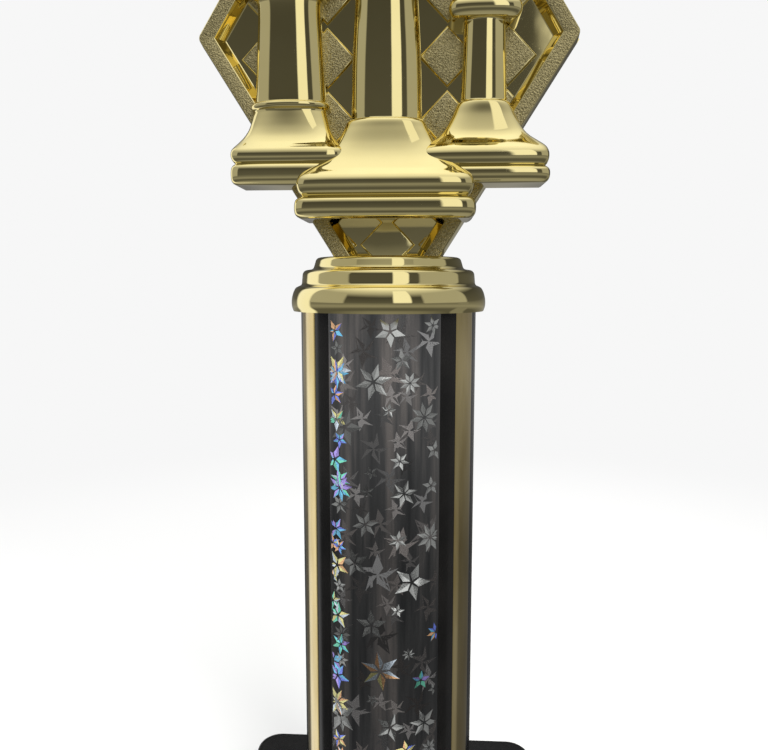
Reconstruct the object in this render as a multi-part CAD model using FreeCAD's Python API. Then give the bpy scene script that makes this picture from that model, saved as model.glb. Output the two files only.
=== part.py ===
"""Chess trophy: a rook, a king and a pawn before a six-sided board, on a round column and a base.

Millimetres, +Z up, the front faces -Y, the origin is under the middle of the base.
The figure, the column and the tightening nut each turn about the rod, which stands on Z.
"""
import FreeCAD, Part
import math
import os

V = FreeCAD.Vector
UP = V(0, 0, 1)

# Base
BASE_WIDTH = 110.0
BASE_DEPTH = 90.0
BASE_TOP = 27.0
BASE_CORNER = 9.0
BASE_EDGE = 2.5
BASE_WALL = 3.5
PAD_THICKNESS = 1.5
PAD_INSET = 1.5
POCKET_RADIUS = 12.0
POCKET_CEILING = 13.0
BOSS_RADIUS = 15.0
PLATE_WIDTH, PLATE_HEIGHT, PLATE_THICKNESS = 64.0, 14.0, 0.6

# Rod and its fasteners
ROD_RADIUS = 3.12
THREAD_BORE = 3.18
ROD_HOLE = 3.6
ROD_FOOT = 2.6
ROD_REACH = 10.0  # how far it stands above the cap
NUT_ACROSS_FLATS, NUT_HEIGHT = 11.1, 5.6
FLAT_WASHER_RADIUS, FLAT_WASHER_HEIGHT = 9.5, 1.6
LOCK_WASHER_RADIUS, LOCK_WASHER_HEIGHT = 6.2, 1.6
LOCK_WASHER_SLOT = 1.0

# Column
COLUMN_RADIUS = 28.4
COLUMN_WALL = 2.0
COLUMN_SHOWN = 178.0  # between the base and the cap's rim
COLUMN_IN_CAP = 5.0
LOCATOR_HEIGHT = 8.0
RING_CLEARANCE = 0.15
RING_HEIGHT = 2.0
FILM_THICKNESS = 0.15
FILM_HALF_ANGLE = 36.0
STRIPE_START, STRIPE_END = 49.0, 70.0

# Cap
CAP_HEIGHT = 17.0
CAP_TOP = BASE_TOP + COLUMN_SHOWN + CAP_HEIGHT
CAP_SOCKET = 28.9
CAP_WALL = 2.6

# Figure: depths along Y
TURN_GAP = 0.1  # between parts that turn against each other
FRAME_FRONT = -10.6
PANEL_FRONT = -6.6
SEAT = -6.0  # the chessmen's flat backs, sunk into the panel
PANEL_BACK = -5.2
COVER_FRONT = -2.6
COVER_BACK = -1.0

# Figure: the six-sided board, heights above its foot
BOARD_HALF_WIDTH = 58.6
VERTEX_HEIGHT = 65.8
FOOT_HALF_WIDTH = 17.4
BOARD_DRAFT = 0.8
FRAME_BAND = 5.2
FRAME_BEVEL = 2.1
FRAME_LEDGE = 3.6
SOCKET_RADIUS = 7.0
SOCKET_HEIGHT = 17.0
INSERT_RADIUS = 3.9
INSERT_HEIGHT = 11.0

# Raised diamonds of the checker panel
TILE_PITCH_X, TILE_PITCH_Z = 18.3, 18.8
TILE_FIRST_Z = 3.8
TILE_HALF_X, TILE_HALF_Z = 8.7, 9.1
TILE_BEVEL = 0.8
TILE_RISE = 0.9
TILE_ROWS, TILE_COLUMNS = 7, 3
TILE_CLEARANCE = 0.4

# Chessmen: how far in front of the rod their widest plane lies
SIDE_PLANE = -13.0
KING_PLANE = -15.0
SIDE_SPACING = 29.35

Z_FIGURE = CAP_TOP + TURN_GAP


def cylinder(radius, bottom, top):
    """A cylinder on the rod's axis."""
    return Part.makeCylinder(radius, top - bottom, V(0, 0, bottom))


def ring(outer, inner, bottom, top):
    """A plain ring on the rod's axis."""
    return cylinder(outer, bottom, top).cut(cylinder(inner, bottom - 1, top + 1))


def prism(points, front, back):
    """A solid from a closed outline of (x, z) points, between two depths."""
    corners = [V(x, front, z) for x, z in points]
    return Part.Face(Part.makePolygon(corners + corners[:1])).extrude(V(0, back - front, 0))


def tapered(front_points, back_points, front, back):
    """A solid between two outlines of (x, z) points that lie at two depths."""
    wires = []
    for points, depth in ((front_points, front), (back_points, back)):
        corners = [V(x, depth, z) for x, z in points]
        wires.append(Part.makePolygon(corners + corners[:1]))
    return Part.makeLoft(wires, True, True)


# ---------------------------------------------------------------- base

def rounded_block(width, depth, radius, bottom, top):
    """A block with rounded upright corners."""
    block = Part.makeBox(width, depth, top - bottom, V(-width / 2, -depth / 2, bottom))
    upright = [e for e in block.Edges if abs(e.tangentAt(e.FirstParameter).z) > 0.99]
    return block.makeFillet(radius, upright)


def base_shell():
    """The base: a tray, open below, with a boss for the rod and a low ring that centres the column."""
    block = rounded_block(BASE_WIDTH, BASE_DEPTH, BASE_CORNER, PAD_THICKNESS, BASE_TOP)
    rim = [e for e in block.Edges if e.BoundBox.ZMin > BASE_TOP - 0.01]
    block = block.makeFillet(BASE_EDGE, rim)
    inside = rounded_block(
        BASE_WIDTH - 2 * BASE_WALL, BASE_DEPTH - 2 * BASE_WALL, BASE_CORNER - BASE_WALL,
        PAD_THICKNESS - 1, BASE_TOP - BASE_WALL,
    )
    boss = cylinder(BOSS_RADIUS, PAD_THICKNESS, BASE_TOP - BASE_WALL)
    pocket = cylinder(POCKET_RADIUS, 0, POCKET_CEILING)
    centring = ring(
        COLUMN_RADIUS - COLUMN_WALL - RING_CLEARANCE, COLUMN_RADIUS - 2 * COLUMN_WALL,
        BASE_TOP, BASE_TOP + RING_HEIGHT,
    )
    shell = block.cut(inside).fuse(boss).fuse(centring)
    return shell.cut(pocket).cut(cylinder(ROD_HOLE, 0, BASE_TOP + 5)).removeSplitter()


def base_weight():
    """The ballast that fills the base around its boss."""
    play = 0.2
    block = rounded_block(
        BASE_WIDTH - 2 * (BASE_WALL + play), BASE_DEPTH - 2 * (BASE_WALL + play),
        BASE_CORNER - BASE_WALL - play, PAD_THICKNESS, BASE_TOP - BASE_WALL - play,
    )
    return block.cut(cylinder(BOSS_RADIUS + play, 0, BASE_TOP))


def base_pad():
    """The soft pad that the trophy stands on, with a hole to reach the nut."""
    pad = rounded_block(
        BASE_WIDTH - 2 * PAD_INSET, BASE_DEPTH - 2 * PAD_INSET, BASE_CORNER - PAD_INSET,
        0, PAD_THICKNESS,
    )
    return pad.cut(cylinder(POCKET_RADIUS, -1, PAD_THICKNESS + 1))


def engraving_plate():
    """The blank plate on the base's front."""
    middle = PAD_THICKNESS + (BASE_TOP - PAD_THICKNESS) / 2
    plate = Part.makeBox(
        PLATE_WIDTH, PLATE_THICKNESS, PLATE_HEIGHT,
        V(-PLATE_WIDTH / 2, -BASE_DEPTH / 2 - PLATE_THICKNESS, middle - PLATE_HEIGHT / 2),
    )
    corners = [e for e in plate.Edges if abs(e.tangentAt(e.FirstParameter).y) > 0.99]
    return plate.makeFillet(1.5, corners)


# ---------------------------------------------------------------- rod and fasteners

def check_rod():
    """The threaded rod from the pocket under the base up into the figure; its thread is plain here."""
    chamfer = 0.6
    rod = cylinder(ROD_RADIUS, ROD_FOOT, CAP_TOP + ROD_REACH)
    ends = [e for e in rod.Edges if e.Closed]
    return rod.makeChamfer(chamfer, ends)


WASHER_TOP = POCKET_CEILING
FLAT_WASHER_FOOT = WASHER_TOP - FLAT_WASHER_HEIGHT
LOCK_WASHER_FOOT = FLAT_WASHER_FOOT - LOCK_WASHER_HEIGHT
NUT_TOP = LOCK_WASHER_FOOT - TURN_GAP


def flat_washer():
    """The wide washer against the pocket's ceiling."""
    return ring(FLAT_WASHER_RADIUS, ROD_HOLE, FLAT_WASHER_FOOT, WASHER_TOP)


def lock_washer():
    """The split spring washer between the flat washer and the nut."""
    washer = ring(LOCK_WASHER_RADIUS, ROD_HOLE, LOCK_WASHER_FOOT, FLAT_WASHER_FOOT)
    slot = Part.makeBox(
        LOCK_WASHER_RADIUS + 1, LOCK_WASHER_SLOT, LOCK_WASHER_HEIGHT + 2,
        V(0, -LOCK_WASHER_SLOT / 2, LOCK_WASHER_FOOT - 1),
    )
    slot.rotate(V(0, 0, 0), UP, 35)
    return washer.cut(slot)


def hex_nut():
    """The nut that pulls the trophy together, with chamfered corners."""
    corner_radius = NUT_ACROSS_FLATS / math.sqrt(3)
    corners = [
        V(corner_radius * math.cos(math.radians(60 * i)), corner_radius * math.sin(math.radians(60 * i)),
          NUT_TOP - NUT_HEIGHT)
        for i in range(6)
    ]
    nut = Part.Face(Part.makePolygon(corners + corners[:1])).extrude(V(0, 0, NUT_HEIGHT))
    flat_radius = NUT_ACROSS_FLATS / 2
    lower = Part.makeCone(flat_radius, flat_radius + NUT_HEIGHT, NUT_HEIGHT, V(0, 0, NUT_TOP - NUT_HEIGHT))
    upper = Part.makeCone(flat_radius + NUT_HEIGHT, flat_radius, NUT_HEIGHT, V(0, 0, NUT_TOP - NUT_HEIGHT))
    return nut.common(lower).common(upper).cut(cylinder(THREAD_BORE, 0, NUT_TOP + 1))


# ---------------------------------------------------------------- column

def column_tube():
    """The round column, standing on the base and reaching into the cap."""
    bottom = BASE_TOP + TURN_GAP
    return ring(COLUMN_RADIUS, COLUMN_RADIUS - COLUMN_WALL, bottom, BASE_TOP + COLUMN_SHOWN + COLUMN_IN_CAP)


def film(middle, half_angle):
    """A sheet laid on the column, its middle so many degrees round from the front."""
    bottom = BASE_TOP + 0.5
    height = COLUMN_SHOWN + COLUMN_IN_CAP - 1.0
    outer = Part.makeCylinder(
        COLUMN_RADIUS + FILM_THICKNESS, height, V(0, 0, bottom), UP, 2 * half_angle)
    inner = cylinder(COLUMN_RADIUS, bottom - 1, bottom + height + 1)
    sheet = outer.cut(inner)
    sheet.rotate(V(0, 0, 0), UP, middle - 90 - half_angle)
    return sheet


def column_locator():
    """The spider in the column's lower end: a rim, a hub on the rod and four arms."""
    bottom = BASE_TOP + RING_HEIGHT + 0.5
    top = bottom + LOCATOR_HEIGHT
    rim_radius = COLUMN_RADIUS - COLUMN_WALL - 0.05
    rim = ring(rim_radius, rim_radius - 2, bottom, top)
    hub = cylinder(6.5, bottom, top)
    spider = rim.fuse(hub)
    for turn in (0, 90):
        arm = Part.makeBox(2 * rim_radius - 2, 2.4, LOCATOR_HEIGHT, V(1 - rim_radius, -1.2, bottom))
        arm.rotate(V(0, 0, 0), UP, turn)
        spider = spider.fuse(arm)
    return spider.cut(cylinder(ROD_HOLE, bottom - 1, top + 1)).removeSplitter()


def column_cap():
    """The stepped cap: three round tiers with soft edges, hollow inside, with a hub on the rod."""
    top = CAP_TOP
    rim = BASE_TOP + COLUMN_SHOWN

    def arc(a, b, c):
        return Part.Arc(V(a[0], 0, a[1]), V(b[0], 0, b[1]), V(c[0], 0, c[1])).toShape()

    def line(a, b):
        return Part.makeLine(V(a[0], 0, a[1]), V(b[0], 0, b[1]))

    # (radius, height) from the hole in the top face, out and down over the three tiers
    upper = [(ROD_HOLE, top), (22.2, top), (23.2, top - 0.35), (23.6, top - 1.2), (24.2, top - 3.2)]
    middle = [(24.8, top - 3.7), (26.3, top - 4.0), (27.4, top - 4.5), (27.8, top - 5.6), (28.1, top - 8.4)]
    lower = [(28.6, top - 8.9), (29.2, top - 9.1), (30.8, top - 11.0), (31.4, top - 13.8), (30.8, rim)]
    outline = [
        line(upper[0], upper[1]), arc(upper[1], upper[2], upper[3]), line(upper[3], upper[4]),
        line(upper[4], middle[0]), line(middle[0], middle[1]),
        arc(middle[1], middle[2], middle[3]), line(middle[3], middle[4]),
        line(middle[4], lower[0]), line(lower[0], lower[1]), arc(lower[1], lower[2], lower[3]),
        arc(lower[3], (31.25, rim + 1.4), lower[4]),
    ]
    ceiling = top - CAP_WALL
    shelf = rim + COLUMN_IN_CAP + 0.5
    inside = [
        lower[4], (CAP_SOCKET, rim), (CAP_SOCKET, shelf), (24.6, shelf), (21.0, ceiling),
        (6.5, ceiling), (6.5, shelf - 2), (ROD_HOLE, shelf - 2), upper[0],
    ]
    outline += [line(a, b) for a, b in zip(inside, inside[1:])]
    return Part.Face(Part.Wire(outline)).revolve(V(0, 0, 0), UP, 360)


# ---------------------------------------------------------------- chessmen

def section(x, plane, height, half_width, bulge, squareness):
    """The outline of a chessman at one height: a bulging front, straight sides and a flat back.

    The front is a superellipse: a squareness of 2 is an ellipse, and more is nearer a rectangle.
    """
    steps = 20
    front = [V(x - half_width, plane, height)]
    for i in range(1, steps):
        angle = math.pi * i / steps
        across, ahead = -math.cos(angle), math.sin(angle)
        reach = (abs(across / half_width) ** squareness + (ahead / bulge) ** squareness) ** (-1 / squareness)
        front.append(V(x + reach * across, plane - reach * ahead, height))
    front.append(V(x + half_width, plane, height))
    curve = Part.BSplineCurve()
    curve.interpolate(front, InitialTangent=V(0, -1, 0), FinalTangent=V(0, 1, 0))
    left, right = V(x - half_width, SEAT, height), V(x + half_width, SEAT, height)
    return Part.Wire([
        curve.toShape(), Part.makeLine(front[-1], right), Part.makeLine(right, left),
        Part.makeLine(left, front[0]),
    ])


def turned(x, plane, stations):
    """One smooth length of a chessman, from (height, half width, bulge, squareness) stations."""
    wires = [section(x, plane, Z_FIGURE + z, a, b, n) for z, a, b, n in stations]
    return Part.makeLoft(wires, True, False)


def bead(x, plane, bottom, top, half_width, bulge, squareness):
    """A rounded moulding: widest at mid height, with a half round edge."""
    radius = (top - bottom) / 2
    stations = []
    for angle in (-66, -40, -14, 14, 40, 66):
        inset = radius * (1 - math.cos(math.radians(angle)))
        rise = radius * math.sin(math.radians(angle)) / math.sin(math.radians(66))
        stations.append(
            (bottom + radius + rise, half_width - inset, bulge - inset, squareness))
    return turned(x, plane, stations)


def fused(shapes):
    """One solid from touching or overlapping shapes."""
    return shapes[0].multiFuse(shapes[1:]).removeSplitter()


def rook():
    """The rook: a two step foot, a ringed stem and a turret with battlements."""
    x, plane = -SIDE_SPACING, SIDE_PLANE
    drum_top, merlon = 89.0, 4.5
    pieces = [
        bead(x, plane, 21.2, 29.6, 18.4, 9.4, 3.2),
        bead(x, plane, 29.6, 33.6, 17.8, 9.0, 3.2),
        turned(x, plane, [(33.6, 15.6, 8.4, 3.0), (35.2, 13.6, 8.7, 2.8), (38.4, 11.9, 9.0, 2.4),
                          (44.9, 10.7, 9.2, 2.0)]),
        bead(x, plane, 44.9, 46.7, 11.85, 10.2, 2.0),
        turned(x, plane, [(46.7, 10.7, 9.2, 2.0), (52.0, 10.4, 9.1, 2.0), (63.0, 9.8, 8.9, 2.0),
                          (73.0, 9.4, 8.7, 2.0)]),
        turned(x, plane, [(73.0, 9.4, 8.7, 2.0), (75.6, 10.4, 9.2, 2.0), (77.8, 12.4, 10.2, 2.0)]),
        bead(x, plane, 77.8, 81.0, 13.4, 11.2, 2.0),
        turned(x, plane, [(81.0, 11.8, 10.0, 2.0), (drum_top + merlon, 12.6, 10.6, 2.0)]),
    ]
    tower = fused(pieces)
    middle, deck = V(x, plane, 0), Z_FIGURE + drum_top
    tower = tower.cut(Part.makeCylinder(8.6, merlon + 1, V(x, plane, deck)))
    for turn in (-90, -30, 30, 90):
        slot = Part.makeBox(3.6, 16, merlon + 1, V(x - 1.8, plane - 16, deck))
        slot.rotate(middle, UP, turn)
        tower = tower.cut(slot)
    return tower


def king():
    """The king: a broad two step foot, a sloping skirt, a plain stem, a crown and a cross."""
    plane = KING_PLANE
    pieces = [
        turned(0, plane, [(10.2, 24.8, 10.4, 3.2), (11.2, 25.6, 11.2, 3.2), (12.2, 25.8, 11.4, 3.2)]),
        bead(0, plane, 12.2, 18.4, 26.5, 12.0, 3.2),
        bead(0, plane, 18.4, 25.6, 26.4, 11.9, 3.2),
        turned(0, plane, [(25.6, 22.4, 11.2, 3.2), (28.6, 19.0, 11.2, 3.2), (33.2, 15.4, 11.0, 3.2),
                          (37.4, 12.8, 10.8, 3.2), (40.6, 11.2, 10.6, 3.2)]),
        turned(0, plane, [(40.6, 10.7, 10.2, 2.0), (52.0, 10.3, 10.0, 2.0), (74.0, 9.1, 9.1, 2.0),
                          (93.0, 8.5, 8.6, 2.0)]),
        bead(0, plane, 93.0, 97.0, 13.0, 11.0, 2.0),
        bead(0, plane, 97.0, 99.4, 11.0, 9.8, 2.0),
        bead(0, plane, 99.4, 103.6, 14.2, 11.6, 2.0),
        turned(0, plane, [(103.6, 9.2, 9.0, 2.0), (108.0, 10.0, 9.4, 2.0), (114.0, 12.0, 10.2, 2.0),
                          (119.0, 14.2, 11.0, 2.0)]),
        bead(0, plane, 119.0, 122.0, 15.2, 11.6, 2.0),
        turned(0, plane, [(122.0, 13.4, 10.6, 2.0), (124.4, 12.0, 9.8, 2.0), (126.4, 8.6, 7.6, 2.0),
                          (127.6, 4.6, 5.0, 2.0)]),
    ]
    return fused(pieces + [king_cross(126.4)])


def king_cross(foot):
    """The cross on the crown: four flared arms."""
    middle = foot + 9.0
    reach, narrow, wide = 7.4, 1.7, 3.6
    front, back = KING_PLANE - 3.0, KING_PLANE + 3.0
    bars = []
    for turn in range(4):
        angle = math.radians(90 * turn)
        corners = []
        for along, across in ((0, -narrow), (reach, -wide), (reach, wide), (0, narrow)):
            corners.append((
                along * math.cos(angle) - across * math.sin(angle),
                Z_FIGURE + middle + along * math.sin(angle) + across * math.cos(angle),
            ))
        bars.append(prism(corners, front, back))
    neck = Part.makeBox(4, back - front, 4, V(-2, front, Z_FIGURE + foot - 1))
    return fused(bars + [neck])


def pawn():
    """The pawn: a two step foot, a sloping skirt, a thin stem, a round collar and a ball."""
    x, plane = SIDE_SPACING, SIDE_PLANE
    ball = 9.6
    ball_height = 85.2
    pieces = [
        bead(x, plane, 21.2, 27.7, 19.4, 9.6, 3.2),
        bead(x, plane, 27.7, 33.6, 18.9, 9.3, 3.2),
        turned(x, plane, [(33.6, 14.8, 8.7, 3.2), (35.2, 13.0, 8.6, 3.2), (39.6, 10.2, 8.3, 3.2),
                          (45.8, 7.5, 7.9, 3.2)]),
        turned(x, plane, [(45.8, 7.2, 7.3, 2.0), (58.0, 6.6, 6.9, 2.0), (70.2, 6.1, 6.6, 2.0)]),
        bead(x, plane, 70.2, 75.8, 10.8, 9.8, 2.0),
        turned(x, plane, [(75.8, 7.4, 7.4, 2.0), (77.4, 5.6, 6.2, 2.0), (78.8, 5.2, 6.0, 2.0)]),
    ]
    head = Part.makeSphere(ball, V(x, plane, Z_FIGURE + ball_height))
    behind = Part.makeBox(40, 40, 40, V(x - 20, SEAT, Z_FIGURE + ball_height - 20))
    return fused(pieces + [head.cut(behind)])


# ---------------------------------------------------------------- board

def board_outline(inset=0.0, below=0.0):
    """The board's six corners as (x, z), moved in by inset; below carries its foot lower."""
    slope = math.atan2(VERTEX_HEIGHT, BOARD_HALF_WIDTH - FOOT_HALF_WIDTH)
    half_width = BOARD_HALF_WIDTH - inset / math.sin(slope)
    foot_half = half_width - (VERTEX_HEIGHT + below) / math.tan(slope)
    top = VERTEX_HEIGHT - inset
    top_half = half_width - top / math.tan(slope)
    middle = Z_FIGURE + VERTEX_HEIGHT
    return [
        (-foot_half, Z_FIGURE - below), (foot_half, Z_FIGURE - below), (half_width, middle),
        (top_half, middle + top), (-top_half, middle + top), (-half_width, middle),
    ]


def board_frame(chessmen):
    """The six-sided frame, open at its foot, bevelled inward to the panel and notched for the chessmen."""
    frame = tapered(board_outline(BOARD_DRAFT), board_outline(), FRAME_FRONT, COVER_FRONT)
    opening = tapered(
        board_outline(FRAME_BAND, 6), board_outline(FRAME_BAND + FRAME_BEVEL, 6), FRAME_FRONT, PANEL_FRONT)
    mouth = prism(board_outline(FRAME_BAND, 6), FRAME_FRONT - 1, FRAME_FRONT)
    back = prism(board_outline(FRAME_LEDGE, 6), PANEL_FRONT, COVER_FRONT + 1)
    return frame.cut(opening).cut(mouth).cut(back).cut(chessmen)


def tile(x, z):
    """One raised diamond of the panel."""
    def diamond(half_x, half_z):
        return [(x - half_x, z), (x, z - half_z), (x + half_x, z), (x, z + half_z)]

    rise = tapered(
        diamond(TILE_HALF_X - TILE_BEVEL, TILE_HALF_Z - TILE_BEVEL), diamond(TILE_HALF_X, TILE_HALF_Z),
        PANEL_FRONT - TILE_RISE, PANEL_FRONT)
    root = prism(diamond(TILE_HALF_X, TILE_HALF_Z), PANEL_FRONT, PANEL_FRONT + 0.5)
    return rise.fuse(root)


def checker_panel(chessmen):
    """The polished panel with its raised diamonds, trimmed to the frame and cut for the chessmen."""
    plate = prism(board_outline(FRAME_LEDGE + 0.1), PANEL_FRONT, PANEL_BACK)
    field = prism(board_outline(FRAME_BAND + FRAME_BEVEL + TILE_CLEARANCE), FRAME_FRONT, PANEL_BACK)
    tiles = []
    for row in range(TILE_ROWS):
        for column in range(1 - TILE_COLUMNS, TILE_COLUMNS):
            x, z = column * TILE_PITCH_X, Z_FIGURE + TILE_FIRST_Z + row * TILE_PITCH_Z
            trimmed = tile(x, z).common(field)
            if trimmed.Volume > 1:
                tiles.append(trimmed)
    return plate.multiFuse(tiles).cut(chessmen).removeSplitter()


def socket_outline(play=0.0):
    """The foot's socket block from above: flat against the panel, round behind the rod."""
    radius = SOCKET_RADIUS + play
    front, z = PANEL_BACK, Z_FIGURE
    sides = [
        Part.makeLine(V(radius, 0, z), V(radius, front, z)),
        Part.makeLine(V(radius, front, z), V(-radius, front, z)),
        Part.makeLine(V(-radius, front, z), V(-radius, 0, z)),
        Part.Arc(V(-radius, 0, z), V(0, radius, z), V(radius, 0, z)).toShape(),
    ]
    return Part.Face(Part.Wire(sides))


def rear_cover():
    """The plate that closes the board's back, with a chamfered edge, notched for the socket block."""
    chamfer = 0.8
    plate = prism(board_outline(), COVER_FRONT, COVER_BACK - chamfer)
    raised = tapered(board_outline(chamfer), board_outline(), COVER_BACK, COVER_BACK - chamfer)
    notch = socket_outline(play=0.1).extrude(V(0, 0, SOCKET_HEIGHT + 0.1))
    notch.translate(V(0, 0, -0.05))
    return plate.fuse(raised).removeSplitter().cut(notch)


def figure_foot():
    """The socket block at the board's foot: round at the back, sloped on top, bored for the insert."""
    block = socket_outline().extrude(V(0, 0, SOCKET_HEIGHT))
    slope = prism([(-20, 0), (20, 0), (20, 20), (-20, 20)], 0, 20)
    slope.rotate(V(0, 0, 0), V(1, 0, 0), -35)
    slope.translate(V(0, COVER_BACK + 1.0, Z_FIGURE + SOCKET_HEIGHT))
    block = block.cut(slope)
    return block.cut(cylinder(INSERT_RADIUS, Z_FIGURE - 1, Z_FIGURE + INSERT_HEIGHT))


def threaded_insert():
    """The brass insert that the rod screws into."""
    return ring(INSERT_RADIUS, THREAD_BORE, Z_FIGURE, Z_FIGURE + INSERT_HEIGHT)


# ---------------------------------------------------------------- write the nodes

def main():
    """Every sub-part by its node's name."""
    front_man = king()
    chessmen = {"rook": rook().cut(front_man), "king": front_man, "pawn": pawn().cut(front_man)}
    cutter = Part.makeCompound(list(chessmen.values()))
    stripe_middle = (STRIPE_START + STRIPE_END) / 2
    stripe_half = (STRIPE_END - STRIPE_START) / 2
    nodes = {
        "base_shell": base_shell(),
        "base_weight": base_weight(),
        "base_pad": base_pad(),
        "engraving_plate": engraving_plate(),
        "check_rod": check_rod(),
        "flat_washer": flat_washer(),
        "lock_washer": lock_washer(),
        "hex_nut": hex_nut(),
        "column_tube": column_tube(),
        "star_film_front": film(0, FILM_HALF_ANGLE),
        "star_film_rear": film(180, FILM_HALF_ANGLE),
        "gold_stripe_front_left": film(-stripe_middle, stripe_half),
        "gold_stripe_front_right": film(stripe_middle, stripe_half),
        "gold_stripe_rear_left": film(180 + stripe_middle, stripe_half),
        "gold_stripe_rear_right": film(180 - stripe_middle, stripe_half),
        "column_locator": column_locator(),
        "column_cap": column_cap(),
        "board_frame": board_frame(cutter),
        "checker_panel": checker_panel(cutter),
        "rear_cover": rear_cover(),
        "figure_foot": figure_foot(),
        "threaded_insert": threaded_insert(),
    }
    nodes.update(chessmen)
    os.makedirs("parts", exist_ok=True)
    for name, shape in nodes.items():
        shape.exportStep("parts/" + name + ".step")
        print(name, shape.ShapeType, len(shape.Solids), shape.isValid(), round(shape.Volume))


main()
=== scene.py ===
"""Looks of the chess trophy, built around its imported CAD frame.

Metres, +Z up, the front faces -Y. Outlines repeat the CAD's stations in millimetres and are
scaled by MM; heights of the figure are counted from its foot on the cap.
"""
import math
import random

import bmesh
import bpy
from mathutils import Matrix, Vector


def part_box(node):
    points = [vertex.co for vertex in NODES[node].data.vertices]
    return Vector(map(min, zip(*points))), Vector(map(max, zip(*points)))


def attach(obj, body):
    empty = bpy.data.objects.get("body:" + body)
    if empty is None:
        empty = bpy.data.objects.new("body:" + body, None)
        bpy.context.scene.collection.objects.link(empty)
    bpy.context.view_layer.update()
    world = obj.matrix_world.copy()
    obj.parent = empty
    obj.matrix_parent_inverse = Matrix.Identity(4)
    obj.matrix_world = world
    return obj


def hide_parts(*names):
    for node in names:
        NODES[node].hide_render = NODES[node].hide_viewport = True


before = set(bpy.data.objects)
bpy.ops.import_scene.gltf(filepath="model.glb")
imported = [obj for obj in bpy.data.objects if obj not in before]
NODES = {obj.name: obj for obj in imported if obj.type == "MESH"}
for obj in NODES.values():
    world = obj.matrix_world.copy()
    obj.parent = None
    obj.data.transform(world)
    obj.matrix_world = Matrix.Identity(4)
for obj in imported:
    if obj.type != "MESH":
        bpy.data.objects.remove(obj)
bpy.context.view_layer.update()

MM = 0.001

# Places read from the CAD frame
TUBE_LOW, TUBE_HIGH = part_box("column_tube")
CAP_LOW, CAP_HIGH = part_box("column_cap")
SHELL_LOW, SHELL_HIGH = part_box("base_shell")
PLATE_LOW, PLATE_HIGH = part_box("engraving_plate")
FRAME_LOW, FRAME_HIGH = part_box("board_frame")
PANEL_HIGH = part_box("checker_panel")[1]
FILM_LOW, FILM_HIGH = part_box("star_film_front")
FOOT_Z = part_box("threaded_insert")[0].z / MM
COLUMN_RADIUS = TUBE_HIGH.x / MM
FILM_RADIUS = -FILM_LOW.y / MM
CAP_RIM, CAP_TOP = CAP_LOW.z / MM, CAP_HIGH.z / MM

# The board, as in the CAD model
BOARD_HALF_WIDTH = FRAME_HIGH.x / MM
VERTEX_HEIGHT = (FRAME_HIGH.z - FRAME_LOW.z) / MM / 2
FOOT_HALF_WIDTH = 17.4
FRAME_FRONT, FRAME_BACK = FRAME_LOW.y / MM, FRAME_HIGH.y / MM
PANEL_FRONT, PANEL_BACK = -6.6, PANEL_HIGH.y / MM
SEAT = -6.0
BOARD_DRAFT, FRAME_BAND, FRAME_BEVEL = 0.8, 5.2, 2.1
TILE_PITCH_X, TILE_PITCH_Z, TILE_FIRST_Z = 18.3, 18.8, 3.8
TILE_HALF_X, TILE_HALF_Z, TILE_RISE, COVE = 8.7, 9.1, 0.9, 1.4
SIDE_SPACING, CROSS_PLANE, PAWN_BALL_PLANE, ROOK_WELL_PLANE = 29.2, -11.0, -11.2, -11.6


# ---------------------------------------------------------------- materials

class Tree:
    """A small helper for writing a node tree."""

    def __init__(self, tree):
        self.tree = tree

    def add(self, kind, **settings):
        node = self.tree.nodes.new("ShaderNode" + kind)
        for key, value in settings.items():
            setattr(node, key, value)
        return node

    def link(self, source, target):
        self.tree.links.new(source, target)

    def math(self, operation, *values):
        """A sum, product and so on of numbers and sockets."""
        node = self.add("Math", operation=operation)
        for socket, value in zip(node.inputs, values):
            if isinstance(value, (int, float)):
                socket.default_value = value
            else:
                self.link(value, socket)
        return node.outputs[0]

    def ramp(self, value, stops):
        """A colour ramp over a value; stops are (position, colour)."""
        node = self.add("ValToRGB")
        elements = node.color_ramp.elements
        while len(elements) < len(stops):
            elements.new(0.5)
        for element, (position, color) in zip(elements, stops):
            element.position = position
            element.color = (*color, 1.0)
        self.link(value, node.inputs["Fac"])
        return node.outputs["Color"]

    def span(self, value, low, high, start=0.0, end=1.0, curve="LINEAR"):
        """Maps start..end of a value onto low..high."""
        node = self.add("MapRange", interpolation_type=curve)
        for key, number in (("From Min", start), ("From Max", end), ("To Min", low), ("To Max", high)):
            node.inputs[key].default_value = number
        self.link(value, node.inputs["Value"])
        return node.outputs["Result"]

    def between(self, degrees, low, high, feather):
        """1 between two angles, fading out softly past them."""
        rise = self.span(degrees, 0.0, 1.0, low - feather, low, "SMOOTHSTEP")
        fall = self.span(degrees, 0.0, 1.0, high + feather, high, "SMOOTHSTEP")
        return self.math("MULTIPLY", rise, fall)


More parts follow.
